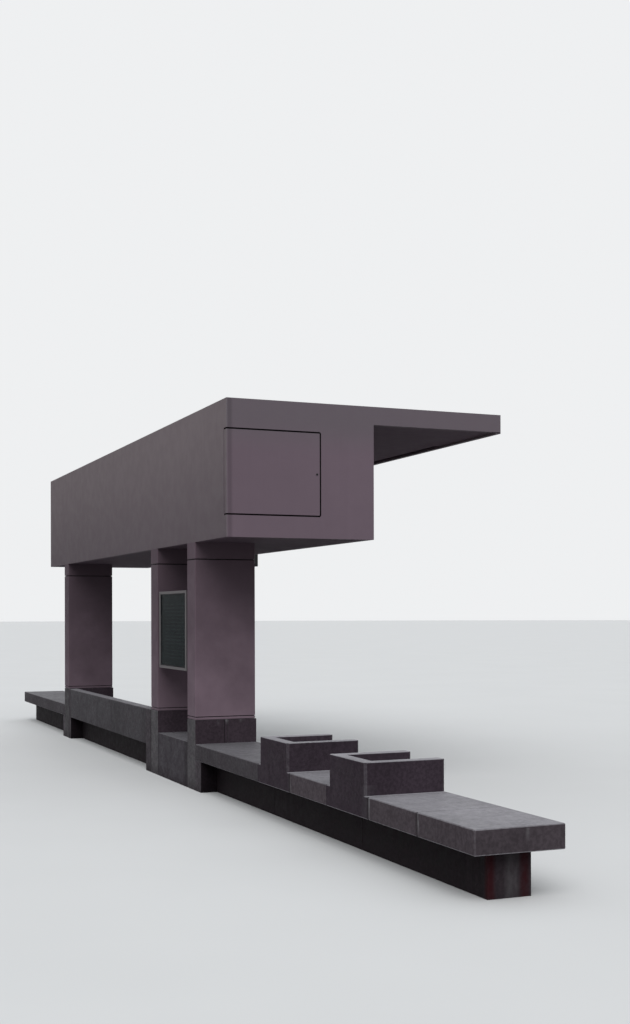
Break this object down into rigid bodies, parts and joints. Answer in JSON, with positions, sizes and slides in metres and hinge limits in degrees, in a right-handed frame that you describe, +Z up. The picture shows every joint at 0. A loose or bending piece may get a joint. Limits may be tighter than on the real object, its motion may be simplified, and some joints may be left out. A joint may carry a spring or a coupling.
{
  "type": "bus shelter",
  "caption": "Open bus shelter: a steel roof box with a cantilevered canopy on columns, over a long run of precast concrete benches with arm units and a seat back.",
  "frame": {"origin": "bottom centre of the whole shelter's box, on the ground", "axes": "+X along the kerb to the end of the long bench, +Y to the road, +Z up"},
  "size_m": [14.03, 2.72, 3.5],
  "materials": {
    "roof_paint": "matte",
    "soffit_paint": "matte",
    "deck_paint": "matte",
    "frame_steel": "satin",
    "dark_steel": "matte",
    "column_paint": "matte",
    "pier_concrete": "matte",
    "bench_concrete": "matte",
    "plinth_concrete": "matte",
    "case_frame": "satin",
    "case_glass": "gloss",
    "case_board": "matte",
    "display_housing": "satin",
    "display_screen": "gloss",
    "sign_plate": "satin",
    "notice_plate": "satin"
  },
  "bodies": {
    "root": {"back_fascia": "roof_paint", "road_fascia": "roof_paint", "near_end_plate": "roof_paint", "far_end_plate": "roof_paint", "canopy_road_edge": "roof_paint", "hatch_door": "roof_paint", "canopy_soffit": "soffit_paint", "box_underside": "soffit_paint", "roof_deck": "deck_paint", "roof_frame": "frame_steel", "hatch_frame": "dark_steel", "column_head_1": "column_paint", "column_head_2": "column_paint", "column_head_3": "column_paint", "column_1": "column_paint", "column_2": "column_paint", "column_3": "column_paint", "column_base_1": "column_paint", "column_base_2": "column_paint", "column_base_3": "column_paint", "pier_1": "pier_concrete", "pier_2": "pier_concrete", "pier_3": "pier_concrete", "middle_block": "pier_concrete", "near_leg": "pier_concrete", "far_leg": "pier_concrete", "back_leg_near": "pier_concrete", "back_leg_far": "pier_concrete", "seat_with_back": "bench_concrete", "near_slab_first": "bench_concrete", "near_slab_middle": "bench_concrete", "near_slab_end": "bench_concrete", "arm_unit_1": "bench_concrete", "arm_unit_2": "bench_concrete", "far_slabs": "bench_concrete", "near_plinth": "plinth_concrete", "middle_plinth": "plinth_concrete", "far_plinth": "plinth_concrete", "info_case_frame": "case_frame", "info_case_glass": "case_glass", "info_board": "case_board", "display_housing": "display_housing", "display_screens": "display_screen", "stop_sign": "sign_plate", "notice_plate": "notice_plate"}
  },
  "joints": []
}
